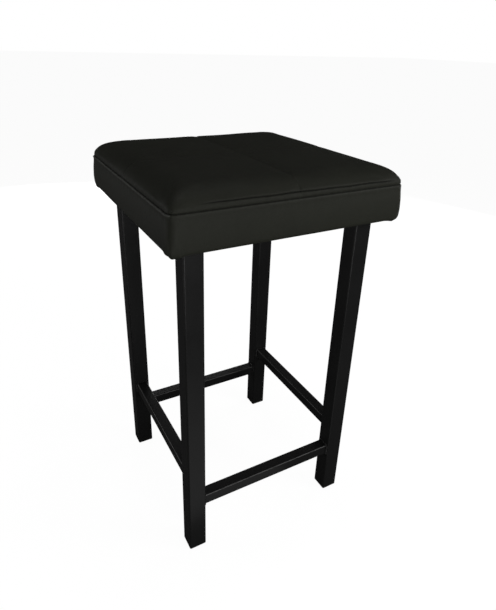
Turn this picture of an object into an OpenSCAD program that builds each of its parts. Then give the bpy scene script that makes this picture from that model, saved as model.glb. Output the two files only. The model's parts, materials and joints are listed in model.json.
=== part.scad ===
// Square counter stool: four welded steel tube legs, four low rails used as footrests,
// and a boxed square seat screwed to a flat bar ring. Millimetres, +Z up.
// The origin is on the floor under the middle of the seat; -Y is the front.

/* [Frame] */
// Outside width of the frame across its legs, the same both ways
frame_w = 300; // [280:2:304]
// Width of the square leg tube
leg_w = 28.6; // [28:0.2:32]
// Wall thickness of the leg tube
leg_wall = 1.5; // [1.2:0.1:2]
// Corner radius of the leg tube
leg_r = 2.5; // [1.8:0.1:2.6]
// Height of the legs' top ends above the floor
leg_top = 537; // [420:1:640]

/* [Rails] */
// Width of the square rail tube
rail_w = 19; // [16:0.5:19]
// Wall thickness of the rail tube
rail_wall = 1.2; // [1:0.1:1.6]
// Corner radius of the rail tube
rail_r = 2; // [1.7:0.1:2.4]
// Height of the top of the front and back rails
low_rail_top = 103; // [60:1:112]
// Height of the top of the left and right rails
high_rail_top = 150; // [142:1:240]
// Leg length of the fillet weld round each rail end
weld = 2; // [1:0.1:2]

/* [Top ring] */
// Width of the flat bars that the seat is screwed to
bar_w = 22; // [20:0.5:22]
// Thickness of the flat bars
bar_t = 3; // [3:0.5:4]
// Distance from the middle of a bar to each of its two screws
screw_offset = 70; // [50:5:90]

/* [Feet] */
// Thickness of the cap plate that stands on the floor
cap_t = 3; // [2:0.5:5]
// Depth of the cap's plug inside the leg
plug_h = 16; // [13:1:22]

/* [Seat] */
// Width of the seat across its sides, the same both ways
seat_w = 358; // [350:2:366]
// Radius of the seat's corners in plan
seat_r = 11; // [10:1:20]
// Height of the side band from the underside to the top seam
band_h = 52; // [46:1:60]
// Height of the crown above the top seam
crown_h = 25; // [18:1:30]
// How far the side band leans in by the top seam
band_lean = 3.5; // [1:0.5:5]
// Width of the rolled margin between the top seam and the flat of the crown
roll_w = 34; // [26:1:60]
// Radius of the seat's lower edge
edge_r = 8; // [6:0.5:9]
// Thickness of the vinyl cover
cover_t = 1.2; // [0.8:0.1:1.4]
// Thickness of the plywood board
board_t = 15; // [15:1:18]
// Width of the hem folded under the board
hem_w = 32; // [28:1:32]

/* [Hidden] */
$fn = 48;
eps = 0.01;

leg_c = (frame_w - leg_w) / 2;         // leg and rail centre lines
rail_len = frame_w - 2 * leg_w;        // clear span between two legs
leg_hole = leg_w - 2 * leg_wall;       // inside width of the leg tube

lining_t = 0.8;                        // dust cover under the seat
seat_z = leg_top + lining_t;           // lowest point of the vinyl
board_z = seat_z + cover_t;            // underside of the board
board_top = board_z + board_t;
seam_z = seat_z + band_h;              // seam between band and top panels
seat_half = seat_w / 2;
board_half = seat_half - edge_r - 1;
board_r = seat_r - edge_r;
lining_half = board_half - 8;
lining_r = 4;
hem_half = seat_half - hem_w;
lean_h = 22;                           // height over which the band leans in
roll_r = 12;                           // how much rounder the crown's corners get
corner_steps = 8;                      // flats round each corner of the seat

screw_r = 3;                           // M6
screw_gap = 0.3;
head_r = 5.5;
head_h = 3.6;
socket_r = 2.3;
socket_h = 2.2;
washer_r = 8;
washer_t = 1.2;
washer_z = leg_top - bar_t - washer_t;
screw_len = 20;
nut_r = 4;
nut_h = 10;
nut_flange_r = 8.5;
nut_flange_t = 1.2;

fin_t = 1;                             // gripping fins on a cap's plug
plug_w = leg_hole - 4;
plug_r = 1.5;
plug_wall = 2;
fin_heights = [4, 9];                  // above the cap's plate

staple_w = 10;                         // crown of a staple
staple_t = 0.7;
staple_d = 8;                          // leg of a staple
staples_a_side = 7;
staple_pitch = 42;
staple_at = lining_half - 3;

// ---- shared shapes ----

// A square of side w with its corners rounded to r, centred on the origin.
module round_square(w, r) {
    square([w, w - 2 * r], center = true);
    square([w - 2 * r, w], center = true);
    for (x = [-1, 1], y = [-1, 1])
        translate([x, y] * (w / 2 - r)) circle(r);
}

// The radius inside a corner of radius r bent from sheet of thickness wall.
function inner_r(r, wall) = max(r - wall, 0.4);

// A square tube standing on the origin along +Z.
module square_tube(w, wall, r, length) {
    linear_extrude(length) difference() {
        round_square(w, r);
        round_square(w - 2 * wall, inner_r(r, wall));
    }
}

// Turns a child made along the front side to side 0 front, 1 right, 2 back or 3 left.
module on_side(side) { rotate(90 * side) children(); }

// Places children at the screws of the bar along the front side.
module at_bar_screws() {
    for (x = [-1, 1]) translate([x * screw_offset, -leg_c, 0]) children();
}

module at_all_screws() { for (side = [0:3]) on_side(side) at_bar_screws() children(); }

// ---- steel frame ----

// One leg; x and y are its signs in plan.
module leg(x, y) {
    color([0.07, 0.07, 0.07]) translate([x * leg_c, y * leg_c, cap_t])
        square_tube(leg_w, leg_wall, leg_r, leg_top - cap_t);
}

// One low rail, on the side given, with its top face at height top.
module rail(side, top) {
    color([0.07, 0.07, 0.07]) on_side(side)
        translate([-rail_len / 2, -leg_c, top - rail_w / 2]) rotate([0, 90, 0])
            square_tube(rail_w, rail_wall, rail_r, rail_len);
}

// One flat bar between two legs, flush with their top ends, drilled for its screws.
module top_bar(side) {
    color([0.07, 0.07, 0.07]) on_side(side) difference() {
        translate([-rail_len / 2, -leg_c - bar_w / 2, leg_top - bar_t])
            cube([rail_len, bar_w, bar_t]);
        translate([0, 0, leg_top - bar_t - 1]) at_bar_screws()
            cylinder(h = bar_t + 2, r = screw_r + screw_gap);
    }
}

// A fillet of length l along +Y, its two flat sides on x = 0 and z = 0.
module fillet(l) {
    translate([0, l / 2, 0]) rotate([90, 0, 0]) linear_extrude(l)
        polygon([[0, 0], [weld, 0], [0, weld]]);
}

// The four fillets round the end of the rail that meets the left leg of the front side.
module rail_end_welds() {
    run = rail_w - 2 * rail_r;
    for (turn = [0:3]) rotate([90 * turn, 0, 0])
        translate([0, 0, rail_w / 2]) fillet(run);
}

module weld_beads() {
    color([0.06, 0.06, 0.06]) for (side = [0:3], end = [0, 1]) on_side(side) {
        top = side % 2 == 0 ? low_rail_top : high_rail_top;
        mirror([end, 0, 0]) translate([-rail_len / 2, -leg_c, 0]) {
            translate([0, 0, top - rail_w / 2]) rail_end_welds();
            translate([0, 0, leg_top - bar_t]) mirror([0, 0, 1]) fillet(bar_w - 2 * weld);
        }
    }
}

// ---- plastic feet ----

// One cap: a plate the size of the tube and a hollow plug with fins that grip inside it.
module foot_cap(x, y) {
    color([0.05, 0.05, 0.05]) translate([x * leg_c, y * leg_c, 0]) {
        linear_extrude(cap_t) round_square(leg_w, leg_r);
        difference() {
            union() {
                linear_extrude(cap_t + plug_h) round_square(plug_w, plug_r);
                for (z = fin_heights) translate([0, 0, cap_t + z])
                    linear_extrude(fin_t) round_square(leg_hole, inner_r(leg_r, leg_wall));
            }
            translate([0, 0, cap_t]) linear_extrude(plug_h + 1)
                round_square(plug_w - 2 * plug_wall, plug_r);
        }
    }
}

// ---- seat ----

// The seat's levels, as [half width, corner radius, height], drawn in by inset all over.
function edge_levels(inset) = [
    for (a = [0:18:90])
        let (out = (edge_r - inset) * sin(a))
        [seat_half - edge_r + out,
         seat_r - edge_r + out,
         seat_z + edge_r - (edge_r - inset) * cos(a)]
];
function crown_levels(inset) = [
    for (a = [0:15:90])
        let (reach = 1 - cos(a))
        [seat_half - band_lean - inset - roll_w * reach,
         seat_r - band_lean - inset + roll_r * reach,
         seam_z + (crown_h - inset) * pow(sin(a), 0.8)]
];
function seat_levels(inset) = concat(
    edge_levels(inset),
    [[seat_half - inset, seat_r - inset, seam_z - lean_h]],
    crown_levels(inset)
);

// The points round one level, anticlockwise from above.
function level_ring(level) = [
    for (corner = [0:3], step = [0:corner_steps])
        let (turn = 90 * (corner + step / corner_steps),
             centre = level[0] - level[1],
             x = corner == 0 || corner == 3 ? centre : -centre,
             y = corner < 2 ? centre : -centre)
        [x + level[1] * cos(turn), y + level[1] * sin(turn), level[2]]
];

// The closed form of the seat. inset 0 is the vinyl's outer face and cover_t its inner.
module seat_form(inset) {
    levels = seat_levels(inset);
    n = 4 * (corner_steps + 1);
    top = n * (len(levels) - 1);
    polyhedron(
        points = [for (level = levels) each level_ring(level)],
        faces = concat(
            [[for (i = [0:n - 1]) i], [for (i = [n - 1:-1:0]) top + i]],
            [for (base = [0:n:top - n], i = [0:n - 1])
                [base + i, base + n + i, base + n + (i + 1) % n]],
            [for (base = [0:n:top - n], i = [0:n - 1])
                [base + i, base + n + (i + 1) % n, base + (i + 1) % n]]
        )
    );
}

module board_block() {
    translate([0, 0, board_z]) linear_extrude(board_t) round_square(2 * board_half, board_r);
}

// The vinyl all round, before it is cut into its pieces.
module cover_skin() {
    difference() {
        seat_form(0);
        seat_form(cover_t);
    }
}

// Plywood with its pilot holes, tee nut seats and staple slots.
module seat_board() {
    color([0.72, 0.56, 0.36]) difference() {
        board_block();
        translate([0, 0, board_z - 1]) at_all_screws() cylinder(h = board_t + 2, r = nut_r);
        translate([0, 0, board_top - nut_flange_t]) at_all_screws()
            cylinder(h = nut_flange_t + 1, r = nut_flange_r);
        staple_legs();
    }
}

// Foam block with a skirt over the board's edges.
module foam_pad() {
    color([0.9, 0.86, 0.66]) difference() {
        seat_form(cover_t);
        board_block();
    }
}

// The side band with its hem folded under the board.
module cover_band() {
    color([0.11, 0.11, 0.1]) difference() {
        intersection() {
            cover_skin();
            translate([-seat_w, -seat_w, 0]) cube([2 * seat_w, 2 * seat_w, seam_z]);
        }
        translate([-hem_half, -hem_half, seat_z - 1])
            cube([2 * hem_half, 2 * hem_half, cover_t + 2]);
        staple_legs();
    }
}

// One quarter of the seat's top; x and y are its signs in plan.
module cover_panel(x, y) {
    color([0.11, 0.11, 0.1]) intersection() {
        cover_skin();
        translate([x < 0 ? -seat_w : 0, y < 0 ? -seat_w : 0, seam_z])
            cube([seat_w, seat_w, 2 * crown_h]);
    }
}

// Thin cloth that closes the underside, between the frame and the board.
module dust_cover() {
    color([0.08, 0.08, 0.08]) difference() {
        translate([0, 0, leg_top]) linear_extrude(lining_t) round_square(2 * lining_half, lining_r);
        translate([0, 0, leg_top - 1]) at_all_screws()
            cylinder(h = lining_t + 2, r = screw_r + screw_gap);
        staple_legs();
    }
}

// ---- fasteners ----

// Socket head screws, up through the bars into the tee nuts.
module seat_screws() {
    color([0.6, 0.6, 0.62]) at_all_screws() difference() {
        union() {
            translate([0, 0, washer_z - head_h]) cylinder(h = head_h, r = head_r);
            translate([0, 0, washer_z - eps]) cylinder(h = screw_len + eps, r = screw_r);
        }
        translate([0, 0, washer_z - head_h - 1]) cylinder(h = socket_h + 1, r = socket_r, $fn = 6);
    }
}

module washers() {
    color([0.62, 0.62, 0.64]) at_all_screws() translate([0, 0, washer_z]) difference() {
        cylinder(h = washer_t, r = washer_r);
        translate([0, 0, -1]) cylinder(h = washer_t + 2, r = screw_r + screw_gap);
    }
}

module tee_nuts() {
    color([0.62, 0.62, 0.6]) at_all_screws() difference() {
        union() {
            translate([0, 0, board_top - nut_h]) cylinder(h = nut_h, r = nut_r);
            translate([0, 0, board_top - nut_flange_t]) cylinder(h = nut_flange_t, r = nut_flange_r);
        }
        translate([0, 0, board_top - nut_h - 1]) cylinder(h = nut_h + 2, r = screw_r + 0.1);
    }
}

// Places children at each staple, its crown along X.
module at_staples() {
    for (side = [0:3], i = [0:staples_a_side - 1]) on_side(side)
        translate([(i - (staples_a_side - 1) / 2) * staple_pitch, -staple_at, leg_top]) children();
}

// The legs of the staples, through the dust cover and hem into the board.
module staple_legs() {
    at_staples() for (x = [-1, 1])
        translate([x * (staple_w - staple_t) / 2 - staple_t / 2, -staple_t / 2, -staple_t])
            cube([staple_t, staple_t, staple_d]);
}

module staples() {
    color([0.7, 0.7, 0.72]) {
        staple_legs();
        at_staples() translate([-staple_w / 2, -staple_t / 2, -staple_t])
            cube([staple_w, staple_t, staple_t]);
    }
}

leg(-1, -1);  // leg_front_left
leg(1, -1);  // leg_front_right
leg(-1, 1);  // leg_back_left
leg(1, 1);  // leg_back_right
rail(0, low_rail_top);  // footrest_front
rail(2, low_rail_top);  // rail_back
rail(3, high_rail_top);  // rail_left
rail(1, high_rail_top);  // rail_right
top_bar(0);  // top_bar_front
top_bar(2);  // top_bar_back
top_bar(3);  // top_bar_left
top_bar(1);  // top_bar_right
foot_cap(-1, -1);  // foot_cap_front_left
foot_cap(1, -1);  // foot_cap_front_right
foot_cap(-1, 1);  // foot_cap_back_left
foot_cap(1, 1);  // foot_cap_back_right
weld_beads();
seat_board();
foam_pad();
cover_band();
cover_panel(-1, -1);  // cover_panel_front_left
cover_panel(1, -1);  // cover_panel_front_right
cover_panel(-1, 1);  // cover_panel_back_left
cover_panel(1, 1);  // cover_panel_back_right
dust_cover();
seat_screws();
washers();
tee_nuts();
staples();
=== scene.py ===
"""Dresses the square counter stool: the padded vinyl seat, the welds, the lining and its staples, the
finishes, and a pale floor with soft lights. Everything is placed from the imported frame, in metres."""

import json
import math
import random

import bmesh
import bpy
import numpy as np
from bpy.props import FloatProperty, FloatVectorProperty, IntProperty, PointerProperty
from mathutils import Matrix, Vector


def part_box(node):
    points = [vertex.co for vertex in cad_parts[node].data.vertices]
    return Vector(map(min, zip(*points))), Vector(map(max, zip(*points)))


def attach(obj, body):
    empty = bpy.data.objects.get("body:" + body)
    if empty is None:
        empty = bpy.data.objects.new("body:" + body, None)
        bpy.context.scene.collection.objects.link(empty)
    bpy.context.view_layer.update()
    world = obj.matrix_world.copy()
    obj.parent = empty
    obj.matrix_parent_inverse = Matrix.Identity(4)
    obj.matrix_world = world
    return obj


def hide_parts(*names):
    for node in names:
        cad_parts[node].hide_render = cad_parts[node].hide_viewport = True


bl_info = {
    "name": "Square Counter Stool",
    "version": (1, 0, 0),
    "blender": (4, 5, 0),
    "location": "View3D > Sidebar > Stool",
    "description": "Pads and covers the seat of a steel counter stool and finishes its frame",
    "category": "Object",
}

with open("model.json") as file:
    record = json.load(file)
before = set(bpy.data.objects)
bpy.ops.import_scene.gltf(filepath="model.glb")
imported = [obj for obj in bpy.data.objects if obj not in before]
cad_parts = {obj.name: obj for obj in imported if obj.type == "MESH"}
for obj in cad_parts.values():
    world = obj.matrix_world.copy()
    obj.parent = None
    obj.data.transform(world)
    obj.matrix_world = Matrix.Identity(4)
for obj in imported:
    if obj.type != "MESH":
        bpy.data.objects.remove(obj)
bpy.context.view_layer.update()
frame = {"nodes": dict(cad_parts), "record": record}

MM = 0.001
BAND_LOW, BAND_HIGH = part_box("cover_band")
PANEL_LOW, PANEL_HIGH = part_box("cover_panel_front_left")
SEAT_HALF = BAND_HIGH.x
SEAT_Z = BAND_LOW.z
SEAM_Z = BAND_HIGH.z
SEAM_HALF = -PANEL_LOW.x
CROWN = PANEL_HIGH.z - SEAM_Z
BOARD_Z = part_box("seat_board")[0].z
LINING_LOW, LINING_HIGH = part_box("dust_cover")
FRAME_HALF = -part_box("leg_front_left")[0].x
RAIL_R = 0.002                         # corner of a rail tube
BAR_MARGIN = 0.002                     # from a bar's side to the end of its weld
STAPLE_W = 10 * MM
STAPLE_WIRE = 0.7 * MM
STAPLES_A_SIDE = 7
STAPLE_PITCH = 42 * MM
EDGE_R = 0.0085                        # lower edge of the seat
HEM_INSET = 0.014                      # from the lining's edge in to the hidden end of the hem
SEAM_ZONE = 0.0013                     # points this close to a seam are held still
SWELL_FRAMES = 20
RAILS = ("footrest_front", "rail_back", "rail_left", "rail_right")
BARS = ("top_bar_front", "top_bar_back", "top_bar_left", "top_bar_right")


# ---------------------------------------------------------------- settings


class SeatSettings(bpy.types.PropertyGroup):
    roll: FloatProperty(
        name="Roll", description="Width of the rolled margin of the crown",
        default=0.026, min=0.015, max=0.06, unit="LENGTH",
    )
    dome: FloatProperty(
        name="Dome", description="How much the flat of the crown rises towards its middle",
        default=0.002, min=0.0, max=0.008, unit="LENGTH",
    )
    corner: FloatProperty(
        name="Corner", description="Plan radius of the seat's corners at the top seam",
        default=0.0105, min=0.006, max=0.03, unit="LENGTH",
    )
    puff: FloatProperty(
        name="Puff", description="The most that a panel may swell between its seams",
        default=0.0021, min=0.0, max=0.01, unit="LENGTH",
    )
    seam_depth: FloatProperty(
        name="Seam depth", description="Depth of the seam between the band and the top",
        default=0.0013, min=0.0, max=0.004, unit="LENGTH",
    )
    cross_depth: FloatProperty(
        name="Cross depth", description="Depth of the seams that cross on the top",
        default=0.0003, min=0.0, max=0.004, unit="LENGTH",
    )
    crease_at: FloatProperty(
        name="Crease", description="Distance from the top seam to the edge of the seam allowance",
        default=0.0077, min=0.006, max=0.02, unit="LENGTH",
    )
    pucker: FloatProperty(
        name="Pucker", description="Height of the puckers along the seams",
        default=0.00045, min=0.0, max=0.002, unit="LENGTH",
    )


class TrimSettings(bpy.types.PropertyGroup):
    bead: FloatProperty(
        name="Weld bead", description="Height of the weld beads",
        default=0.0021, min=0.001, max=0.004, unit="LENGTH",
    )
    bead_pitch: FloatProperty(
        name="Bead pitch", description="Distance between the ripples of a weld",
        default=0.0017, min=0.001, max=0.004, unit="LENGTH",
    )
    seed: IntProperty(name="Seed", description="Seed of the small irregularities", default=7, min=0)


class FinishSettings(bpy.types.PropertyGroup):
    vinyl: FloatVectorProperty(
        name="Vinyl", description="Colour of the seat cover", subtype="COLOR",
        default=(0.0235, 0.0247, 0.0182), min=0.0, max=1.0,
    )
    paint: FloatVectorProperty(
        name="Paint", description="Colour of the powder coat", subtype="COLOR",
        default=(0.0115, 0.0115, 0.0115), min=0.0, max=1.0,
    )
    vinyl_roughness: FloatProperty(
        name="Vinyl roughness", description="Roughness of the seat cover",
        default=0.58, min=0.0, max=1.0, subtype="FACTOR",
    )
    paint_roughness: FloatProperty(
        name="Paint roughness", description="Roughness of the powder coat",
        default=0.34, min=0.0, max=1.0, subtype="FACTOR",
    )
    # Strength of the painted highlight on the rails' upper rounded edges, partly shoe rubbing.
    edge_rub_and_highlight: FloatProperty(
        name="Rubbing", description="How far shoes have rubbed the rails' upper edges",
        default=0.65, min=0.0, max=1.0, subtype="FACTOR",
    )


class StageSettings(bpy.types.PropertyGroup):
    lens: FloatProperty(
        name="Lens", description="Focal length of the camera on a 36 mm sensor",
        default=29.44, min=10.0, max=200.0,
    )
    camera_at: FloatVectorProperty(
        name="Camera", description="Where the camera stands", subtype="TRANSLATION", unit="LENGTH",
        default=(-0.3569, -0.6727, 0.7655),
    )
    camera_turn: FloatVectorProperty(
        name="Turn", description="Heading, downward pitch and roll of the camera", subtype="EULER",
        unit="ROTATION", default=(math.radians(29.446), math.radians(24.78), math.radians(1.809)),
    )
    camera_shift: FloatVectorProperty(
        name="Shift", description="Sideways and upward shift of the lens", size=2, default=(0.0039, -0.0536),
    )
    floor: FloatVectorProperty(
        name="Floor", description="Colour of the floor", subtype="COLOR",
        default=(0.1, 0.1, 0.1), min=0.0, max=1.0,
    )


SETTINGS = {
    "stool_seat": SeatSettings,
    "stool_trim": TrimSettings,
    "stool_finish": FinishSettings,
    "stool_stage": StageSettings,
}


# ---------------------------------------------------------------- shader groups


class Tree:
    """A short way to write a node tree: add() makes a node, sets its inputs and links its sources."""

    def __init__(self, tree):
        self.tree = tree

    def add(self, kind, inputs=None, **settings):
        node = self.tree.nodes.new(kind)
        for name, value in settings.items():
            setattr(node, name, value)
        for name, value in (inputs or {}).items():
            socket = node.inputs[name]
            if isinstance(value, bpy.types.NodeSocket):
                self.tree.links.new(value, socket)
            else:
                socket.default_value = value
        return node

    def math(self, operation, *values, clamp=False):
        node = self.add("ShaderNodeMath", dict(enumerate(values)), operation=operation, use_clamp=clamp)
        return node.outputs[0]

    def place(self):
        return self.add("ShaderNodeTexCoord").outputs["Object"]

    def split(self, vector):
        return self.add("ShaderNodeSeparateXYZ", {"Vector": vector}).outputs

    def noise(self, scale, detail, roughness=0.5, distortion=0.0, vector=None):
        """Smooth noise from 0 to 1 over the object, or over a given vector."""
        return self.add("ShaderNodeTexNoise", {
            "Vector": self.place() if vector is None else vector,
            "Scale": scale, "Detail": detail, "Roughness": roughness, "Distortion": distortion,
        }).outputs["Fac"]

    def bump(self, height, strength, distance, **more):
        inputs = {"Height": height, "Strength": strength, "Distance": distance, **more}
        return self.add("ShaderNodeBump", inputs).outputs[0]

    def fill(self, group, **inputs):
        """A shader group's node with these values, and its outputs."""
        node = self.add("ShaderNodeGroup", node_tree=group)
        for label, value in inputs.items():
            node.inputs[label].default_value = value
        return node.outputs

    def ramp(self, value, low, high, to_low=0.0, to_high=1.0):
        node = self.add(
            "ShaderNodeMapRange",
            {"Value": value, "From Min": low, "From Max": high, "To Min": to_low, "To Max": to_high},
        )
        return node.outputs["Result"]


def shader_group(name, inputs, outputs, build):
    """A shader node group with float inputs {name: default} and outputs {name: kind}, made once."""
    group = bpy.data.node_groups.get(name)
    if group:
        return group
    group = bpy.data.node_groups.new(name, "ShaderNodeTree")
    for label, default in inputs.items():
        socket = group.interface.new_socket(label, in_out="INPUT", socket_type="NodeSocketFloat")
        socket.default_value = default
    for label, kind in outputs.items():
        group.interface.new_socket(label, in_out="OUTPUT", socket_type=kind)
    tree = Tree(group)
    source = tree.add("NodeGroupInput")
    sink = tree.add("NodeGroupOutput")
    for label, socket in build(tree, source.outputs).items():
        group.links.new(socket, sink.inputs[label])
    return group


FLOAT = "NodeSocketFloat"


def mottle_group():
    """Slow cloudy variation about 0, for colour and roughness."""
    def build(tree, given):
        swing = tree.math("SUBTRACT", tree.noise(given["Scale"], 5.0, 0.6, 0.3), 0.5)
        return {"Value": tree.math("MULTIPLY", swing, given["Amount"])}
    return shader_group("Mottle", {"Scale": 12.0, "Amount": 1.0}, {"Value": FLOAT}, build)


def pebble_group():
    """Fine leather grain: rounded cells of uneven size with thin valleys, and a mask of the valleys."""
    def build(tree, given):
        place = tree.place()
        drift = tree.add("ShaderNodeTexNoise", {
            "Vector": place, "Scale": tree.math("MULTIPLY", given["Scale"], 0.35), "Detail": 2.0,
        }).outputs["Color"]
        drift = tree.add("ShaderNodeVectorMath", {0: drift, 1: (0.0016,) * 3}, operation="MULTIPLY")
        bent = tree.add("ShaderNodeVectorMath", {0: place, 1: drift.outputs[0]}, operation="ADD").outputs[0]
        cells = tree.add("ShaderNodeTexVoronoi", {
            "Vector": bent, "Scale": given["Scale"], "Randomness": 1.0,
        }, feature="DISTANCE_TO_EDGE").outputs["Distance"]
        pores = tree.noise(tree.math("MULTIPLY", given["Scale"], 2.4), 2.0, vector=place)
        dome = tree.math("POWER", tree.ramp(cells, 0.0, 0.45), 0.6)
        height = tree.math("ADD", dome, tree.math("MULTIPLY", pores, 0.25))
        return {"Height": height, "Valley": tree.ramp(cells, 0.0, 0.16, 1.0, 0.0)}
    return shader_group("Pebble", {"Scale": 700.0}, {"Height": FLOAT, "Valley": FLOAT}, build)


def peel_group():
    """The fine ripple of a sprayed or baked coat, and sparse specks."""
    def build(tree, given):
        ripple = tree.noise(given["Scale"], 1.0, 0.4)
        fine = tree.noise(tree.math("MULTIPLY", given["Scale"], 4.0), 1.0)
        dots = tree.add("ShaderNodeTexVoronoi", {
            "Vector": tree.place(), "Scale": tree.math("MULTIPLY", given["Scale"], 0.22),
        }).outputs["Distance"]
        height = tree.math("ADD", ripple, tree.math("MULTIPLY", fine, 0.3))
        return {"Height": height, "Speck": tree.ramp(dots, 0.0, 0.09, 1.0, 0.0)}
    return shader_group("Orange Peel", {"Scale": 420.0}, {"Height": FLOAT, "Speck": FLOAT}, build)


def dust_group():
    """A little dust, thickest on faces that look up and low on the stool."""
    def build(tree, given):
        up = tree.split(tree.add("ShaderNodeNewGeometry").outputs["Normal"])["Z"]
        settled = tree.ramp(up, 0.2, 1.0)
        low = tree.ramp(tree.split(tree.place())["Z"], 0.02, 0.0, 0.0, 0.5)
        patch = tree.ramp(tree.noise(38.0, 6.0, 0.65), 0.42, 0.75)
        mask = tree.math("MULTIPLY", tree.math("ADD", settled, low), patch)
        return {"Mask": tree.math("MULTIPLY", mask, given["Amount"], clamp=True)}
    return shader_group("Dust", {"Amount": 0.05}, {"Mask": FLOAT}, build)


def rub_and_highlight_group():
    """Painted highlight on the rounded edges that look upwards, unevenly, partly where shoes rub the coat
    thin.
    """
    def build(tree, given):
        facing = tree.split(tree.add("ShaderNodeNewGeometry").outputs["Normal"])
        sizes = [tree.math("ABSOLUTE", facing[axis]) for axis in "XYZ"]
        largest = tree.math("MAXIMUM", tree.math("MAXIMUM", sizes[0], sizes[1]), sizes[2])
        edge = tree.ramp(largest, 0.97, 0.84)
        up = tree.ramp(facing["Z"], 0.2, 0.45)
        patch = tree.ramp(tree.noise(55.0, 5.0, 0.6), 0.36, 0.56, 0.45, 1.0)
        mask = tree.math("MULTIPLY", tree.math("MULTIPLY", edge, up), patch)
        return {"Mask": tree.math("MULTIPLY", mask, given["Amount"], clamp=True)}
    return shader_group("Rubbed Edge", {"Amount": 0.8}, {"Mask": FLOAT}, build)


# ---------------------------------------------------------------- materials


HOUSE_DUST = (0.3, 0.3, 0.29)
WARM_DUST = (0.32, 0.31, 0.29)
SCUFF = (0.12, 0.12, 0.115)
# Pale tone of the painted highlight on the upper edges, partly rubbed coat.
RUB_AND_HIGHLIGHT_TONE = (0.17, 0.17, 0.168)
# Tone of the painted highlight along the seat's lip.
LIP_HIGHLIGHT_TONE = (0.14, 0.141, 0.132)
CAP_BLACKS = ((0.007, 0.007, 0.007), (0.012, 0.012, 0.012))
LINING_BLACKS = ((0.006, 0.006, 0.006), (0.024, 0.024, 0.024))
ZINC_GREYS = ((0.4, 0.41, 0.42), (0.62, 0.62, 0.63))
BIRCH_BROWNS = ((0.36, 0.23, 0.11), (0.62, 0.45, 0.26))
GLUE_LINE = (0.14, 0.08, 0.04)


def start_material(name, **plain):
    """A material with its Principled shader, and that shader's plain inputs set."""
    material = bpy.data.materials.new(name)
    material.use_nodes = True
    tree = Tree(material.node_tree)
    shader = next(n for n in material.node_tree.nodes if n.type == "BSDF_PRINCIPLED")
    for label, value in plain.items():
        shader.inputs[label.replace("_", " ")].default_value = value
    return material, tree, shader


def join_up(material, shader, colour, rough, bump):
    """Feeds the shader its colour, roughness and bump, and gives back the material."""
    for label, socket in (("Base Color", colour), ("Roughness", rough), ("Normal", bump)):
        material.node_tree.links.new(socket, shader.inputs[label])
    return material


def mixed(tree, factor, first, second):
    """A colour between two, each a colour or a socket."""
    node = tree.add("ShaderNodeMix", {"Factor": factor}, data_type="RGBA")
    for slot, colour in ((6, first), (7, second)):
        if isinstance(colour, bpy.types.NodeSocket):
            tree.tree.links.new(colour, node.inputs[slot])
        else:
            node.inputs[slot].default_value = (*colour, 1.0)
    return node.outputs[2]


def scaled(colour, factor):
    return tuple(min(1.0, c * factor) for c in colour)


def vinyl_material(finish):
    """Grained seat vinyl, with a painted highlight along the stretched lip and painted shade in the seams."""
    material, tree, shader = start_material("Vinyl", Specular_IOR_Level=0.185)
    mottle = tree.fill(mottle_group(), Scale=9.0, Amount=1.6)["Value"]
    fine = tree.fill(mottle_group(), Scale=90.0, Amount=0.4)["Value"]
    pebble = tree.fill(pebble_group(), Scale=760.0)
    dust = tree.fill(dust_group(), Amount=0.012)["Mask"]
    fold = tree.add("ShaderNodeAttribute", attribute_name="fold").outputs["Fac"]
    grime = tree.add("ShaderNodeAttribute", attribute_name="grime").outputs["Fac"]
    shade = tree.math("ADD", 0.5, tree.math("ADD", mottle, fine), clamp=True)
    colour = mixed(tree, shade, scaled(finish.vinyl, 0.82), scaled(finish.vinyl, 1.2))
    # Grain valleys, dust, a painted highlight on the lip and painted shade in the seams.
    for mask, share, tone in (
        (pebble["Valley"], 0.35, scaled(finish.vinyl, 0.5)), (dust, 1.0, WARM_DUST),
        (fold, 0.8, LIP_HIGHLIGHT_TONE), (grime, 0.85, scaled(finish.vinyl, 0.2)),
    ):
        colour = mixed(tree, tree.math("MULTIPLY", mask, share), colour, tone)
    rough = tree.math("ADD", finish.vinyl_roughness, tree.math("MULTIPLY", mottle, 0.08))
    rough = tree.math("ADD", rough, tree.math("MULTIPLY", pebble["Valley"], 0.08))
    creases = tree.bump(tree.noise(60.0, 4.0, 0.55, 1.2), 0.35, 0.0006)
    grain = tree.bump(pebble["Height"], 0.3, 0.00014, Normal=creases)
    return join_up(material, shader, colour, rough, grain)


def paint_material(finish, name, lift=1.0, edge_rub_and_highlight=0.0):
    """Satin black powder coat, with a painted highlight, partly rubbed coat, on its upper edges where shoes
    reach it.
    """
    material, tree, shader = start_material(name, Specular_IOR_Level=0.26)
    mottle = tree.fill(mottle_group(), Scale=16.0, Amount=1.5)["Value"]
    peel = tree.fill(peel_group(), Scale=520.0)
    dust = tree.fill(dust_group(), Amount=0.02)["Mask"]
    rub_and_highlight_mask = tree.fill(rub_and_highlight_group(), Amount=edge_rub_and_highlight)["Mask"]
    base = scaled(finish.paint, lift)
    colour = mixed(tree, tree.math("ADD", 0.5, mottle, clamp=True), scaled(base, 0.85), scaled(base, 1.18))
    colour = mixed(tree, tree.math("MULTIPLY", peel["Speck"], 0.25), colour, scaled(base, 2.2))
    colour = mixed(tree, dust, colour, HOUSE_DUST)
    # Painted highlight on the upper rounded edges, partly rubbed coat.
    colour = mixed(tree, rub_and_highlight_mask, colour, RUB_AND_HIGHLIGHT_TONE)
    rough = tree.math("ADD", finish.paint_roughness, tree.math("MULTIPLY", mottle, 0.09))
    return join_up(material, shader, colour, rough, tree.bump(peel["Height"], 0.22, 0.00012))


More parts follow.
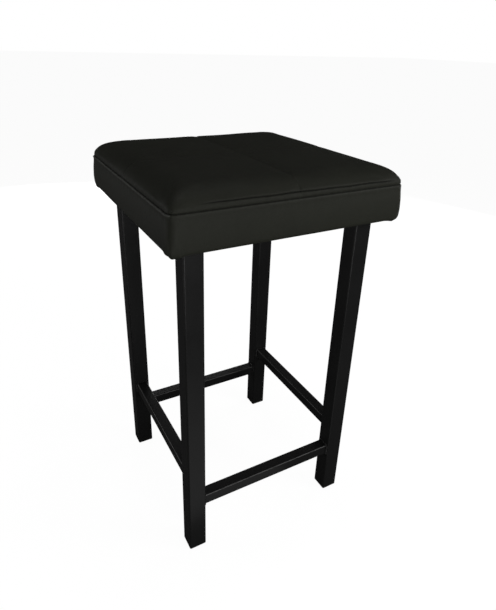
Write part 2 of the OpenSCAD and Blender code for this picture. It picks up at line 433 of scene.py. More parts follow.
def plastic_material():
    """Moulded cap plastic: fine spark-eroded grain, scuffed pale close to the floor."""
    material, tree, shader = start_material("CapPlastic", Specular_IOR_Level=0.45)
    mottle = tree.fill(mottle_group(), Scale=60.0, Amount=1.4)["Value"]
    peel = tree.fill(peel_group(), Scale=1500.0)
    dust = tree.fill(dust_group(), Amount=0.25)["Mask"]
    colour = mixed(tree, tree.math("ADD", 0.5, mottle, clamp=True), *CAP_BLACKS)
    colour = mixed(tree, dust, colour, SCUFF)
    rough = tree.math("ADD", 0.6, tree.math("MULTIPLY", mottle, 0.15))
    return join_up(material, shader, colour, rough, tree.bump(peel["Height"], 0.3, 0.0001))


def zinc_material():
    """Bright zinc plate, slightly clouded, with turning marks."""
    material, tree, shader = start_material("ZincSteel", Metallic=0.95)
    mottle = tree.fill(mottle_group(), Scale=240.0, Amount=1.6)["Value"]
    marks = tree.add("ShaderNodeTexWave", {
        "Vector": tree.place(), "Scale": 900.0, "Distortion": 1.5, "Detail": 2.0,
    }, bands_direction="Z").outputs["Fac"]
    colour = mixed(tree, tree.math("ADD", 0.5, mottle, clamp=True), *ZINC_GREYS)
    rough = tree.math("ADD", 0.34, tree.math("MULTIPLY", mottle, 0.2))
    return join_up(material, shader, colour, rough, tree.bump(marks, 0.2, 0.00005))


def plywood_material():
    """Birch ply: long face grain, and dark glue lines between the plies on the edges."""
    material, tree, shader = start_material("Plywood", Specular_IOR_Level=0.3)
    place = tree.place()
    drawn = tree.add("ShaderNodeMapping", {"Vector": place, "Scale": (6.0, 90.0, 90.0)}).outputs[0]
    grain = tree.noise(1.0, 6.0, 0.6, 0.4, vector=drawn)
    plies = tree.add("ShaderNodeTexWave", {
        "Vector": place, "Scale": 105.0,
    }, bands_direction="Z").outputs["Fac"]
    colour = mixed(tree, grain, *BIRCH_BROWNS)
    colour = mixed(tree, tree.math("MULTIPLY", tree.ramp(plies, 0.1, 0.0), 0.6), colour, GLUE_LINE)
    rough = tree.ramp(grain, 0.2, 0.8, 0.62, 0.8)
    return join_up(material, shader, colour, rough, tree.bump(grain, 0.3, 0.0003))


def lining_material():
    """Spun-bonded lining: a grid of small bonded dots over fine random fibres."""
    material, tree, shader = start_material("LiningCloth", Specular_IOR_Level=0.25)
    place = tree.place()
    fibre = tree.noise(900.0, 5.0, 0.75, 2.0, vector=place)
    turned = tree.add("ShaderNodeMapping", {"Vector": place, "Rotation": (0, 0, math.radians(45))}).outputs[0]
    dots = tree.add("ShaderNodeTexVoronoi", {
        "Vector": turned, "Scale": 640.0, "Randomness": 0.0,
    }).outputs["Distance"]
    bond = tree.ramp(dots, 0.32, 0.22)
    height = tree.math("SUBTRACT", fibre, tree.math("MULTIPLY", bond, 0.8))
    colour = mixed(tree, fibre, *LINING_BLACKS)
    rough = tree.ramp(bond, 0.0, 1.0, 0.9, 0.6)
    return join_up(material, shader, colour, rough, tree.bump(height, 0.5, 0.00015))


def material(name):
    """One of the stool's materials by name, made when it is first asked for."""
    finish = bpy.context.scene.stool_finish
    makers = {
        "Vinyl": lambda: vinyl_material(finish),
        "PowderCoat": lambda: paint_material(finish, "PowderCoat", edge_rub_and_highlight=finish.edge_rub_and_highlight),
        "WeldCoat": lambda: paint_material(finish, "WeldCoat", lift=1.1),
        "CapPlastic": plastic_material,
        "ZincSteel": zinc_material,
        "Plywood": plywood_material,
        "LiningCloth": lining_material,
    }
    return bpy.data.materials.get(name) or makers[name]()


# ---------------------------------------------------------------- mesh helpers


def new_piece(name, points, faces):
    mesh = bpy.data.meshes.new(name)
    mesh.from_pydata([tuple(p) for p in points], [], faces)
    mesh.update()
    piece = bpy.data.objects.new(name, mesh)
    bpy.context.scene.collection.objects.link(piece)
    mesh.shade_smooth()
    return piece


def points_of(mesh):
    flat = np.empty(len(mesh.vertices) * 3)
    mesh.vertices.foreach_get("co", flat)
    return flat.reshape(-1, 3)


def normals_of(mesh):
    flat = np.empty(len(mesh.vertices) * 3)
    mesh.vertices.foreach_get("normal", flat)
    return flat.reshape(-1, 3)


def set_points(mesh, points):
    mesh.vertices.foreach_set("co", np.ascontiguousarray(points, float).ravel())
    mesh.update()


def bake_modifiers(piece):
    """Turns a piece with its modifiers into a plain mesh, and removes them."""
    graph = bpy.context.evaluated_depsgraph_get()
    mesh = bpy.data.meshes.new_from_object(piece.evaluated_get(graph))
    piece.modifiers.clear()
    old = piece.data
    piece.data = mesh
    bpy.data.meshes.remove(old)
    mesh.name = piece.name
    return piece


def bend(value, centre, width):
    """A smooth bump of height 1 about centre."""
    return np.exp(-(((value - centre) / width) ** 2))


def fade(value, low, high):
    """0 below low, 1 above high, smooth between."""
    t = np.clip((value - low) / (high - low), 0.0, 1.0)
    return t * t * (3 - 2 * t)


def wander(along, seed, pitches=(0.009, 0.014, 0.023)):
    """Uneven waves along a length, about -1 to 1, the same for the same seed."""
    dice = random.Random(seed)
    total = 0
    for pitch in pitches:
        total = total + np.sin(along * 2 * math.pi / pitch + dice.uniform(0, 2 * math.pi))
    return total / len(pitches)


# ---------------------------------------------------------------- seat cushion
# The seat's sides are numbered 0 front, 1 right, 2 back and 3 left.

LEFT = 3
SECOND_LINE = (1.0, 0.35, 0.5, 0.1)    # how strongly the seam allowance shows on each side


def square_point(half, radius, fraction, side):
    """A point on a rounded square, fraction -1 to 1 along a side; sides turn from the front."""
    straight = half - radius
    length = straight + radius * math.pi / 4
    run = abs(fraction) * length
    if run <= straight:
        x, y = run, -half
    else:
        turn = (run - straight) / radius
        x, y = straight + radius * math.sin(turn), -straight - radius * math.cos(turn)
    x = math.copysign(x, fraction)
    for _ in range(side):
        x, y = -y, x
    return x, y


def crown_profile(settings):
    """The crown from its middle to the top seam: distance along it, half width and height."""
    turns = np.linspace(0, math.pi / 2, 25)
    flat = np.linspace(0, SEAM_HALF - settings.roll, 20)[:-1]
    halves = np.concatenate([flat, SEAM_HALF - settings.roll * (1 - np.sin(turns))])
    rise = np.concatenate([np.ones(len(flat)), np.cos(turns)])
    dome = settings.dome * (1 - (halves / SEAM_HALF) ** 2)
    heights = SEAM_Z + (CROWN - settings.dome) * rise + dome
    run = np.concatenate([[0], np.cumsum(np.hypot(np.diff(halves), np.diff(heights)))])
    return run, halves, heights


def spaced(length, dense, step=0.005):
    """Distances from 0 to length about a step apart, with close ones about each dense place."""
    close = (-0.0026, -0.0011, 0.0, 0.0011, 0.0026)
    kept = sorted({round(d + c, 5) for d in dense for c in close if 0 <= d + c <= length} | {0.0, length})
    out = []
    for low, high in zip(kept, kept[1:]):
        parts = max(1, round((high - low) / step))
        out += [low + (high - low) * i / parts for i in range(parts)]
    return out + [length]


def side_rows():
    """The seat below the top seam: half width, corner radius and height, down and under to the hem."""
    corner = bpy.context.scene.stool_seat.corner
    bulge = SEAT_HALF - 0.0005
    rows = []
    top, low = SEAM_Z, SEAT_Z + EDGE_R
    for drop in spaced(top - low, [0.0]):
        down = drop / (top - low)
        full = 0.0012 * math.sin(math.pi * min(1.0, down)) ** 0.6
        rows.append((SEAM_HALF + (bulge - SEAM_HALF) * down + full, top - drop))
    for step in range(1, 6):
        turn = math.pi / 2 * step / 5
        rows.append((bulge - EDGE_R + EDGE_R * math.cos(turn), low - EDGE_R * math.sin(turn)))
    hem_edge = LINING_HIGH.x - HEM_INSET
    hem_start = rows[-1][0]
    for step in range(1, 5):
        rows.append((hem_start + (hem_edge - hem_start) * step / 4, SEAT_Z))
    rows.append((hem_edge - 0.0003, BOARD_Z))
    return [
        (half, max(0.006, corner + min(0.0, (half - SEAM_HALF)) + (0.001 if z < top else 0)), z)
        for half, z in rows[1:]
    ]


def cushion_form(settings):
    """The seat as one closed mesh on a square grid, and which points its seams hold still."""
    run, halves, heights = crown_profile(settings)
    length = run[-1]
    places = spaced(length, [0.0, length - settings.crease_at, length])
    lines = [-p for p in places[:0:-1]] + places
    n = len(lines)
    points, held, index = [], [], {}

    def top_point(u, v):
        reach = max(abs(u), abs(v))
        if reach == 0:
            return (0.0, 0.0, heights[0])
        half = float(np.interp(reach, run, halves))
        z = float(np.interp(reach, run, heights))
        radius = min(half, settings.corner + 0.3 * (SEAM_HALF - half))
        if abs(v) >= abs(u):
            side = 0 if v < 0 else 2
            fraction = u / reach * (1 if v < 0 else -1)
        else:
            side = 1 if u > 0 else 3
            fraction = v / reach * (1 if u > 0 else -1)
        return (*square_point(half, radius, fraction, side), z)

    for j, v in enumerate(lines):
        for i, u in enumerate(lines):
            index[i, j] = len(points)
            points.append(top_point(u, v))
            inward = length - max(abs(u), abs(v))
            held.append(min(abs(u), abs(v), inward) < SEAM_ZONE)
    faces = [
        (index[i, j], index[i + 1, j], index[i + 1, j + 1], index[i, j + 1])
        for j in range(n - 1) for i in range(n - 1)
    ]
    rim = (
        [(i, 0) for i in range(n - 1)] + [(n - 1, j) for j in range(n - 1)]
        + [(i, n - 1) for i in range(n - 1, 0, -1)] + [(0, j) for j in range(n - 1, 0, -1)]
    )
    upper = [index[at] for at in rim]
    count = len(upper)
    for half, radius, z in side_rows():
        lower = []
        for i, j in rim:
            u, v = lines[i] / length, lines[j] / length
            if j == 0:
                side, fraction = 0, u
            elif i == n - 1:
                side, fraction = 1, v
            elif j == n - 1:
                side, fraction = 2, -u
            else:
                side, fraction = 3, -v
            lower.append(len(points))
            points.append((*square_point(half, radius, fraction, side), z))
            held.append(z < SEAT_Z + 0.006 or z > SEAM_Z - SEAM_ZONE)
        faces += [
            (upper[k], lower[k], lower[(k + 1) % count], upper[(k + 1) % count]) for k in range(count)
        ]
        upper = lower
    return points, faces, held


def close_below(mesh):
    """Closes the open underside of the cover with one flat face."""
    shape = bmesh.new()
    shape.from_mesh(mesh)
    bmesh.ops.holes_fill(shape, edges=[edge for edge in shape.edges if edge.is_boundary], sides=0)
    shape.to_mesh(mesh)
    shape.free()


def swell(piece, held, most):
    """Blows the cover out between its held seams by cloth simulation, no point further than most."""
    start = points_of(piece.data)
    group = piece.vertex_groups.new(name="held")
    group.add([i for i, fixed in enumerate(held) if fixed], 1.0, "REPLACE")
    cloth = piece.modifiers.new("Air", "CLOTH")
    rules = cloth.settings
    rules.vertex_group_mass = group.name
    rules.quality = 6
    rules.mass = 0.25
    rules.air_damping = 2.0
    rules.tension_stiffness = 12.0
    rules.compression_stiffness = 12.0
    rules.shear_stiffness = 5.0
    rules.bending_stiffness = 2.0
    rules.use_pressure = True
    rules.uniform_pressure_force = 4.0
    rules.effector_weights.gravity = 0.0
    cloth.collision_settings.use_collision = False
    scene = bpy.context.scene
    cloth.point_cache.frame_start = 1
    cloth.point_cache.frame_end = SWELL_FRAMES
    for step in range(1, SWELL_FRAMES + 1):
        scene.frame_set(step)
    graph = bpy.context.evaluated_depsgraph_get()
    moved = points_of(piece.evaluated_get(graph).to_mesh()) - start
    scene.frame_set(1)
    piece.modifiers.remove(cloth)
    piece.vertex_groups.remove(group)
    reach = np.linalg.norm(moved, axis=1, keepdims=True)
    cap = np.where(start[:, 2:] > SEAM_Z, most, most * 0.5)
    moved *= np.tanh(reach / cap) * cap / np.maximum(reach, 1e-9)
    set_points(piece.data, start + moved)


def outline_distance(x, y, half, radius):
    """How far inside the rounded square a point lies."""
    dx, dy = np.abs(x) - (half - radius), np.abs(y) - (half - radius)
    outside = np.hypot(np.maximum(dx, 0), np.maximum(dy, 0))
    return -(outside + np.minimum(np.maximum(dx, dy), 0) - radius)


def boxed_seam(signed, along, side, settings):
    """The seam between band and top, the fullness beside it, its puckers, and the second line above it, with
    the painted shade along the seam and that line.
    """
    seam = -settings.seam_depth * bend(signed, 0, 0.0007)
    seam += 0.0006 * (bend(signed, 0.004, 0.0034) + bend(signed, -0.003, 0.0026))
    shift = np.zeros(len(signed)) + seam
    # Painted shade along the seam groove.
    shadow = 0.8 * bend(signed, 0, 0.0006)
    for number, strength in enumerate(SECOND_LINE):
        here = side == number
        gather = wander(along + 0.35 * number, 11 + number)
        reach = np.where(signed > 0, bend(signed, 0.003, 0.0045), bend(signed, -0.003, 0.006))
        shift += np.where(here, settings.pucker * gather * reach, 0)
        # The allowance's edge shows through the vinyl as a crease with painted shade along it, and dies out
        # towards the corners.
        line = settings.crease_at - 0.006 * along + 0.0004 * wander(along, 41 + number, (0.06, 0.11))
        ends = fade(SEAM_HALF - 0.026 - np.abs(along - 0.012), 0.0, 0.02)
        shadow += np.where(here, 1.1 * bend(signed, line, 0.00065) * ends * strength, 0)
        if number == LEFT:
            # Here the band's folded top edge stands up as a lip instead, with the top sunk behind it.
            crease = 0.0013 * bend(signed, -0.0016, 0.0013) - 0.0006 * bend(signed, 0.003, 0.003)
        else:
            crease = -0.0021 * bend(signed, line, 0.00055) + 0.0005 * bend(signed, line + 0.003, 0.0022)
            crease = crease * ends * strength
        shift += np.where(here, crease, 0)
    return shift, shadow


def cross_seams(x, y, z, settings):
    """The two seams that cross on the top, and the tuck where each runs out over the roll."""
    shift = np.zeros(len(x))
    top = fade(z, SEAM_Z + 0.002, SEAM_Z + 0.006)
    for across, run, seed in ((x, y, 61), (y, x, 67)):
        groove = -settings.cross_depth * bend(across, 0, 0.0011)
        groove -= settings.cross_depth * 1.4 * bend(across, 0, 0.009)
        sides = bend(across, 0.004, 0.004) - bend(across, -0.004, 0.004)
        shift += (groove + settings.pucker * 0.8 * wander(run, seed) * sides) * top
        roll = fade(np.abs(run), SEAM_HALF - 0.03, SEAM_HALF - 0.012)
        roll = roll * fade(z, SEAM_Z + 0.004, SEAM_Z + 0.012)
        tuck = np.where(run > 0, 0.0012, 0.0003)
        shift -= tuck * roll * (bend(across, 0, 0.0022) + 0.4 * bend(across, 0, 0.01))
    return shift


def save_mask(mesh, name, values):
    mask = mesh.attributes.new(name, "FLOAT", "POINT")
    mask.data.foreach_set("value", values.astype(np.float32))


def tailor(piece, settings):
    """Sews the seams into the swollen cover: grooves, puckers, the allowance's edge and corner pleats."""
    mesh = piece.data
    points = points_of(mesh)
    out = normals_of(mesh)
    x, y, z = points.T
    inside = outline_distance(x, y, SEAM_HALF, settings.corner)
    above = np.where(z > SEAM_Z, np.hypot(np.maximum(inside, 0), z - SEAM_Z), 0)
    signed = np.where(z > SEAM_Z, above, z - SEAM_Z)
    front_back = np.abs(y) > np.abs(x)
    along = np.where(front_back, x, y)
    side = np.where(front_back, np.where(y < 0, 0, 2), np.where(x > 0, 1, LEFT))
    shift, shadow = boxed_seam(signed, along, side, settings)
    shift += cross_seams(x, y, z, settings)

    # Slow unevenness of the foam, more on the top than on the sides.
    top = fade(z, SEAM_Z + 0.002, SEAM_Z + 0.006)
    shift += 0.0005 * wander(x, 71, (0.11, 0.17)) * wander(y, 73, (0.13, 0.19)) * (0.4 + 0.6 * top)

    # Pleats where the band is drawn under each corner, and the hem pulled flat beside the frame.
    near_corner = fade(np.minimum(np.abs(x), np.abs(y)), SEAT_HALF - 0.03, SEAT_HALF - 0.008)
    turn = np.arctan2(np.abs(y) - SEAT_HALF + 0.02, np.abs(x) - SEAT_HALF + 0.02)
    low = fade(SEAT_Z + 0.02 - z, 0.0, 0.018)
    shift += 0.0009 * near_corner * low * np.cos(turn * 9 + x * 40)
    shift *= fade(z, SEAT_Z + 0.0003, SEAT_Z + 0.002)
    under = near_corner * bend(z, SEAT_Z + 0.001, 0.007)
    rim = fade(np.maximum(np.abs(x), np.abs(y)), FRAME_HALF + 0.006, FRAME_HALF + 0.02)
    rim = rim * bend(z, SEAT_Z, 0.008)

    # Painted highlight along the seam lip, mostly on the left, uneven along it.
    gathers = 0.75 + 0.25 * wander(along, 83, (0.008, 0.013, 0.031))
    save_mask(mesh, "fold", bend(signed, -0.0015, 0.0015) * np.where(side == LEFT, gathers, 0.12))
    # Painted shade in the seam and along the allowance's edge.
    save_mask(mesh, "grime", np.clip(shadow, 0, 1))
    points = points + out * shift[:, None]
    points[:, 2] -= 0.0024 * under + 0.0011 * rim
    set_points(mesh, points)


def make_cushion():
    settings = bpy.context.scene.stool_seat
    points, faces, held = cushion_form(settings)
    cushion = new_piece("seat_cushion", points, faces)
    swell(cushion, held, settings.puff)
    smooth = cushion.modifiers.new("Smooth", "SUBSURF")
    smooth.levels = smooth.render_levels = 1
    bake_modifiers(cushion)
    tailor(cushion, settings)
    close_below(cushion.data)
    cushion.data.shade_smooth()
    cushion.data.materials.clear()
    cushion.data.materials.append(material("Vinyl"))
    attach(cushion, "root")
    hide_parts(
        "foam_pad", "cover_band", "cover_panel_front_left", "cover_panel_front_right",
        "cover_panel_back_left", "cover_panel_back_right",
    )
    return cushion


# ---------------------------------------------------------------- repeated trim


def repeat_tree():
    """Geometry nodes that set an item along each path: pitch, item, jitters, seed and material."""
    tree = bpy.data.node_groups.get("Repeat Along Path")
    if tree:
        return tree
    tree = bpy.data.node_groups.new("Repeat Along Path", "GeometryNodeTree")
    face = tree.interface
    face.new_socket("Geometry", in_out="INPUT", socket_type="NodeSocketGeometry")
    for label, kind, default in (
        ("Pitch", "NodeSocketFloat", 0.002), ("Size Jitter", "NodeSocketFloat", 0.1),
        ("Turn Jitter", "NodeSocketFloat", 0.1), ("Seed", "NodeSocketInt", 0),
        ("Item", "NodeSocketObject", None), ("Material", "NodeSocketMaterial", None),
    ):
        socket = face.new_socket(label, in_out="INPUT", socket_type=kind)
        if default is not None:
            socket.default_value = default
    face.new_socket("Geometry", in_out="OUTPUT", socket_type="NodeSocketGeometry")
    make = Tree(tree)
    given = make.add("NodeGroupInput").outputs

    def one_of(low, high):
        node = make.add("FunctionNodeRandomValue", {"Seed": given["Seed"]}, data_type="FLOAT")
        tree.links.new(low, node.inputs[2])
        tree.links.new(high, node.inputs[3])
        return node.outputs[1]

    path = make.add("GeometryNodeMeshToCurve", {"Mesh": given["Geometry"]}).outputs["Curve"]
    stops = make.add("GeometryNodeResampleCurve", {
        "Curve": path, "Length": given["Pitch"],
    }, mode="LENGTH").outputs["Curve"]
    tangent = make.add("GeometryNodeInputTangent").outputs["Tangent"]
    faced = make.add("FunctionNodeAlignRotationToVector", {"Vector": tangent}, axis="X").outputs["Rotation"]
    turn = one_of(make.math("MULTIPLY", given["Turn Jitter"], -1.0), given["Turn Jitter"])
    angle = make.add("ShaderNodeCombineXYZ", {"Z": turn}).outputs[0]
    nudge = make.add("FunctionNodeEulerToRotation", {"Euler": angle}).outputs[0]
    turned = make.add("FunctionNodeRotateRotation", {
        "Rotation": faced, "Rotate By": nudge,
    }, rotation_space="LOCAL").outputs[0]
    size = one_of(
        make.math("SUBTRACT", 1.0, given["Size Jitter"]), make.math("ADD", 1.0, given["Size Jitter"])
    )
    scale = make.add("ShaderNodeCombineXYZ", {"X": size, "Y": size, "Z": size}).outputs[0]
    item = make.add("GeometryNodeObjectInfo", {
        "Object": given["Item"], "As Instance": True,
    }).outputs["Geometry"]
    copies = make.add("GeometryNodeInstanceOnPoints", {
        "Points": stops, "Instance": item, "Rotation": turned, "Scale": scale,
    }).outputs["Instances"]
    real = make.add("GeometryNodeRealizeInstances", {"Geometry": copies}).outputs["Geometry"]
    painted = make.add("GeometryNodeSetMaterial", {"Geometry": real, "Material": given["Material"]})
    tree.links.new(painted.outputs[0], make.add("NodeGroupOutput").inputs["Geometry"])
    return tree


def repeat_along(name, paths, item, pitch, size_jitter, turn_jitter, look):
    """A plain mesh of copies of item along paths, each a list of points and whether it closes."""
    points, edges = [], []
    for path, closed in paths:
        first = len(points)
        points += [tuple(p) for p in path]
        edges += [(first + i, first + i + 1) for i in range(len(path) - 1)]
        if closed:
            edges.append((len(points) - 1, first))
    mesh = bpy.data.meshes.new(name)
    mesh.from_pydata(points, edges, [])
    piece = bpy.data.objects.new(name, mesh)
    bpy.context.scene.collection.objects.link(piece)
    tree = repeat_tree()
    modifier = piece.modifiers.new("Repeat", "NODES")
    modifier.node_group = tree
    sockets = {s.name: s.identifier for s in tree.interface.items_tree if s.in_out == "INPUT"}
    values = {
        "Pitch": pitch, "Size Jitter": size_jitter, "Turn Jitter": turn_jitter,
        "Seed": bpy.context.scene.stool_trim.seed, "Item": item, "Material": look,
    }
    for label, value in values.items():
        modifier[sockets[label]] = value
    piece.update_tag()
    bpy.context.view_layer.update()
    bake_modifiers(piece)
    bpy.data.objects.remove(item)
    piece.data.shade_smooth()
    return piece


def item_mesh(name, build):
    """A small item about the origin, lying along X, from a bmesh builder."""
    shape = bmesh.new()
    build(shape)
    mesh = bpy.data.meshes.new(name)
    bmesh.ops.recalc_face_normals(shape, faces=shape.faces)
    shape.to_mesh(mesh)
    shape.free()
    piece = bpy.data.objects.new(name, mesh)
    bpy.context.scene.collection.objects.link(piece)
    return piece


def tube(shape, path, radius, sides=8):
    """A closed round tube through points, ends capped, with its rings square to the path."""
    turns = [2 * math.pi * side / sides for side in range(sides)]
    rings = []
    for k, point in enumerate(path):
        before = Vector(path[max(k - 1, 0)])
        after = Vector(path[min(k + 1, len(path) - 1)])
        ahead = (after - before).normalized()
        across = ahead.cross(Vector((0, 1, 0))).normalized()
        other = ahead.cross(across)
        rings.append([
            shape.verts.new(Vector(point) + (across * math.cos(turn) + other * math.sin(turn)) * radius)
            for turn in turns
        ])
    for low, high in zip(rings, rings[1:]):
        for s in range(sides):
            shape.faces.new((low[s], low[(s + 1) % sides], high[(s + 1) % sides], high[s]))
    shape.faces.new(rings[0])
    shape.faces.new(rings[-1])


def bead_item(height):
    def build(shape):
        bmesh.ops.create_uvsphere(shape, u_segments=10, v_segments=6, radius=height)
        bmesh.ops.scale(shape, vec=(0.62, 1.0, 1.0), verts=shape.verts)
    return item_mesh("bead", build)


def staple_item(width, wire, depth):
    def build(shape):
        half, r = width / 2 - wire / 2, wire * 0.7
        path = [(-half, 0, depth), (-half, 0, r)]
        path += [(-half + r - r * math.cos(a), 0, r - r * math.sin(a)) for a in (0.5, 1.1, 1.5708)]
        path += [(x, 0, z) for x, _, z in [(-p[0], 0, p[2]) for p in reversed(path)]]
        tube(shape, path, wire / 2)
    return item_mesh("staple", build)


def lengthways_of(low, high):
    """0 for a rail or bar that runs along X, 1 for one along Y."""
    return 0 if high.x - low.x > high.y - low.y else 1


def rail_ring(node, end, swell_out):
    """The closed path round one end of a rail, just outside it; end is -1 or 1."""
    low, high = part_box(node)
    centre = (low + high) / 2
    half = (high.z - low.z) / 2
    way = lengthways_of(low, high)
    ring = []
    for corner, (sx, sz) in enumerate(((1, 1), (-1, 1), (-1, -1), (1, -1))):
        for step in range(5):
            turn = math.pi / 2 * (corner + step / 4)
            across = sx * (half - RAIL_R) + (RAIL_R + swell_out) * math.cos(turn)
            up = sz * (half - RAIL_R) + (RAIL_R + swell_out) * math.sin(turn)
            point = [0.0, 0.0, centre.z + up]
            point[way] = (high if end > 0 else low)[way]
            point[1 - way] = centre[1 - way] + across
            ring.append(tuple(point))
    return ring


def bar_line(node, end, down):
    """The path under one end of a top bar."""
    low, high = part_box(node)
    way = lengthways_of(low, high)
    line = []
    for across in (low[1 - way] + BAR_MARGIN, high[1 - way] - BAR_MARGIN):
        point = [0.0, 0.0, low.z - down]
        point[way] = (high if end > 0 else low)[way]
        point[1 - way] = across
        line.append(tuple(point))
    return line


def make_welds():
    trim = bpy.context.scene.stool_trim
    sunk = trim.bead * 0.25
    paths = [(rail_ring(node, end, sunk), True) for node in RAILS for end in (-1, 1)]
    paths += [(bar_line(node, end, sunk), False) for node in BARS for end in (-1, 1)]
    welds = repeat_along(
        "weld_ripples", paths, bead_item(trim.bead), trim.bead_pitch, 0.08, 0.12, material("WeldCoat")
    )
    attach(welds, "root")
    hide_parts("weld_beads")
    return welds


def make_staples():
    """The staples through the lining and hem, set by hand, so none quite square."""
    low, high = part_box("staples")
    at = high.y - STAPLE_WIRE / 2
    crown_z = low.z + STAPLE_WIRE / 2
    half = (STAPLES_A_SIDE - 1) / 2 * STAPLE_PITCH
    paths = []
    for turn in range(4):
        spin = Matrix.Rotation(turn * math.pi / 2, 3, "Z")
        paths.append(([spin @ Vector((x, -at, crown_z)) for x in (-half, half)], False))
    item = staple_item(STAPLE_W, STAPLE_WIRE, high.z - low.z - STAPLE_WIRE)
    staples = repeat_along("staple_wires", paths, item, STAPLE_PITCH, 0.02, 0.16, material("ZincSteel"))
    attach(staples, "root")
    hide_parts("staples")
    return staples


def make_lining():
    """The lining, pulled flat by its staples and slack between them."""
    half = LINING_HIGH.x
    count = 84
    row = count + 1
    z = (LINING_LOW.z + LINING_HIGH.z) / 2
    grid = np.linspace(-half, half, row)
    points = []
    for y in grid:
        for x in grid:
            edge = half - max(abs(x), abs(y))
            slack = math.exp(-((edge / 0.012) ** 2))
            wave = math.cos(2 * math.pi * (x if abs(y) > abs(x) else y) / STAPLE_PITCH)
            points.append((x, y, z - 0.00035 * slack * (1 - wave) * 0.5))
    starts = [j * row + i for j in range(count) for i in range(count)]
    faces = [(k, k + 1, k + row + 1, k + row) for k in starts]
    lining = new_piece("seat_lining", points, faces)
    wall = lining.modifiers.new("Wall", "SOLIDIFY")
    wall.thickness = LINING_HIGH.z - LINING_LOW.z
    wall.offset = 0
    bake_modifiers(lining)
    lining.data.materials.append(material("LiningCloth"))
    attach(lining, "root")
    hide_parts("dust_cover")
    return lining


# ---------------------------------------------------------------- carried-over parts


SLOT_LOOKS = {
    "frame_paint": "PowderCoat", "cap_plastic": "CapPlastic", "plywood": "Plywood", "zinc_steel": "ZincSteel",
}


def finish_frame():
    """Gives each CAD part that still shows its material."""
    for part in frame["record"]["subparts"]:
        node = frame["nodes"][part["node"]]
        if node.hide_render or part["material_slot"] not in SLOT_LOOKS:
            continue
        for place in node.material_slots:
            place.material = material(SLOT_LOOKS[part["material_slot"]])


# ---------------------------------------------------------------- stage


FLOOR_HALF = 30.0
SEAT_AIM = (0, 0, 0.5)
FRAME_AIM = (0, 0, 0.33)

# Each light's name, place, aim, size and power.
LIGHTS = (
    ("key_softbox", (-0.42, -1.24, 0.15), FRAME_AIM, (0.7, 0.24), 2.8),
    ("front_softbox", (0.0, -1.15, 0.52), FRAME_AIM, (0.5, 0.4), 2.3),
    ("roll_softbox", (0.95, -1.05, 0.85), FRAME_AIM, (0.4, 0.4), 2.9),
    ("high_softbox", (1.25, -0.95, 1.15), (0, 0, 0.55), (0.5, 0.5), 3.2),
    ("left_softbox", (-1.25, 0.7, 0.58), SEAT_AIM, (0.8, 0.4), 3.0),
    ("left_glow", (-1.2, -0.1, 0.1), FRAME_AIM, (0.8, 0.2), 0.8),
    ("right_softbox", (2.0, 0.6, 0.4), FRAME_AIM, (1.2, 0.5), 12.0),
    ("back_softbox", (0.5, 2.2, 0.25), (0, 0, 0.35), (1.2, 0.5), 22.0),
    ("top_softbox", (0, 0, 2.2), (0, 0, 0), (0.7, 0.7), 5.0),
    ("floor_glow", (-0.05, -0.37, 0.004), (-0.05, -0.37, 1.0), (0.25, 0.34), 0.08),
)


def make_floor(settings):
    corners = [(x * FLOOR_HALF, y * FLOOR_HALF, 0) for x, y in ((-1, -1), (1, -1), (1, 1), (-1, 1))]
    floor = new_piece("floor", corners, [(0, 1, 2, 3)])
    look, tree, shader = start_material("PaleFloor", Roughness=0.9, Specular_IOR_Level=0.0)
    seen = tree.add("ShaderNodeLightPath").outputs["Is Camera Ray"]
    shader.inputs["Base Color"].default_value = (*settings.floor, 1)
    shader.inputs["Emission Color"].default_value = (1, 1, 1, 1)
    tree.tree.links.new(tree.ramp(seen, 0.0, 1.0, 0.0, 0.96), shader.inputs["Emission Strength"])
    floor.data.materials.append(look)


def make_world():
    """White to the camera, and a dim room to everything else."""
    world = bpy.data.worlds.new("Studio")
    bpy.context.scene.world = world
    world.use_nodes = True
    tree = Tree(world.node_tree)
    world.node_tree.nodes.clear()
    seen = tree.add("ShaderNodeLightPath").outputs["Is Camera Ray"]
    strength = tree.ramp(seen, 0.0, 1.0, 0.04, 1.0)
    sky = tree.add("ShaderNodeBackground", {"Color": (1, 1, 1, 1), "Strength": strength})
    out = tree.add("ShaderNodeOutputWorld")
    world.node_tree.links.new(sky.outputs[0], out.inputs["Surface"])


def soft_light(name, place, aim, size, power):
    lamp = bpy.data.lights.new(name, "AREA")
    lamp.shape = "RECTANGLE"
    lamp.size, lamp.size_y = size
    lamp.energy = power
    holder = bpy.data.objects.new(name, lamp)
    holder.visible_camera = False
    holder.location = place
    holder.rotation_mode = "QUATERNION"
    holder.rotation_quaternion = (Vector(aim) - Vector(place)).to_track_quat("-Z", "Y")
    bpy.context.scene.collection.objects.link(holder)
    return holder


def make_lights():
    for name, place, aim, size, power in LIGHTS:
        soft_light(name, place, aim, size, power)


def make_camera(settings):
    heading, pitch, roll = settings.camera_turn
    level = Vector((math.sin(heading), math.cos(heading), 0))
    ahead = level * math.cos(pitch) - Vector((0, 0, math.sin(pitch)))
    right = Vector((math.cos(heading), -math.sin(heading), 0))
    up = right.cross(ahead)
    right, up = right * math.cos(roll) + up * math.sin(roll), up * math.cos(roll) - right * math.sin(roll)
    lens = bpy.data.cameras.new("camera")
    lens.lens = settings.lens
    lens.shift_x, lens.shift_y = settings.camera_shift
    camera = bpy.data.objects.new("camera", lens)
    bpy.context.scene.collection.objects.link(camera)
    turn = Matrix((right, up, -ahead)).transposed().to_4x4()
    camera.matrix_world = Matrix.Translation(settings.camera_at) @ turn
    bpy.context.scene.camera = camera


# ---------------------------------------------------------------- operators


class STOOL_OT_cushion(bpy.types.Operator):
    """Pads, covers and sews the seat"""

    bl_idname = "stool.cushion"
    bl_label = "Seat cushion"

    def execute(self, context):
        make_cushion()
        return {"FINISHED"}


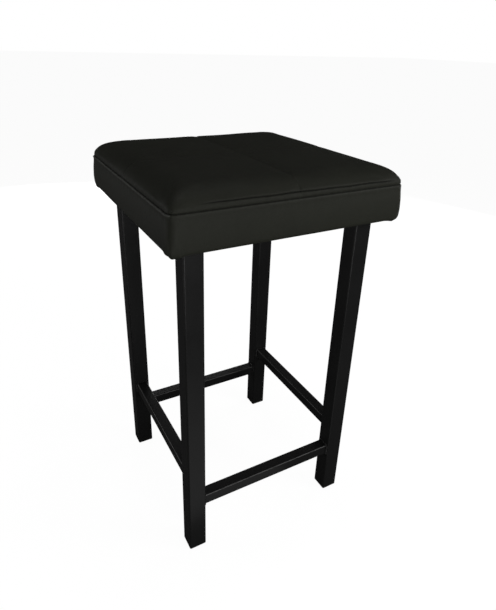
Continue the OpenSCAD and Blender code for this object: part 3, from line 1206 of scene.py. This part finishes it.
class STOOL_OT_welds(bpy.types.Operator):
    """Runs the rippled welds round the ends of the rails and under the bars"""

    bl_idname = "stool.welds"
    bl_label = "Welds"

    def execute(self, context):
        make_welds()
        return {"FINISHED"}


class STOOL_OT_underside(bpy.types.Operator):
    """Stretches the lining under the seat and staples it"""

    bl_idname = "stool.underside"
    bl_label = "Lining and staples"

    def execute(self, context):
        make_lining()
        make_staples()
        return {"FINISHED"}


class STOOL_OT_finishes(bpy.types.Operator):
    """Paints the frame and finishes the board, caps and fasteners"""

    bl_idname = "stool.finishes"
    bl_label = "Finishes"

    def execute(self, context):
        finish_frame()
        return {"FINISHED"}


class STOOL_OT_stage(bpy.types.Operator):
    """Sets up the floor, the lights and the camera"""

    bl_idname = "stool.stage"
    bl_label = "Stage"

    def execute(self, context):
        settings = context.scene.stool_stage
        context.scene.view_settings.view_transform = "Standard"
        make_camera(settings)
        make_world()
        make_floor(settings)
        make_lights()
        return {"FINISHED"}


class STOOL_PT_panel(bpy.types.Panel):
    """The stool's steps and settings"""

    bl_idname = "STOOL_PT_panel"
    bl_label = "Counter stool"
    bl_space_type = "VIEW_3D"
    bl_region_type = "UI"
    bl_category = "Stool"

    def draw(self, context):
        for step in STEPS:
            self.layout.operator(step.bl_idname)
        for name, group in SETTINGS.items():
            box = self.layout.box()
            for label in group.__annotations__:
                box.prop(getattr(context.scene, name), label)


STEPS = (
    STOOL_OT_stage, STOOL_OT_cushion, STOOL_OT_welds, STOOL_OT_underside, STOOL_OT_finishes,
)
CLASSES = (*SETTINGS.values(), *STEPS, STOOL_PT_panel)


def register():
    for group in CLASSES:
        bpy.utils.register_class(group)
    for name, group in SETTINGS.items():
        setattr(bpy.types.Scene, name, PointerProperty(type=group))


def unregister():
    for name in SETTINGS:
        delattr(bpy.types.Scene, name)
    for group in reversed(CLASSES):
        bpy.utils.unregister_class(group)


def main():
    register()
    bpy.ops.stool.stage()
    bpy.ops.stool.cushion()
    bpy.ops.stool.welds()
    bpy.ops.stool.underside()
    bpy.ops.stool.finishes()


if __name__ == "__main__":
    main()
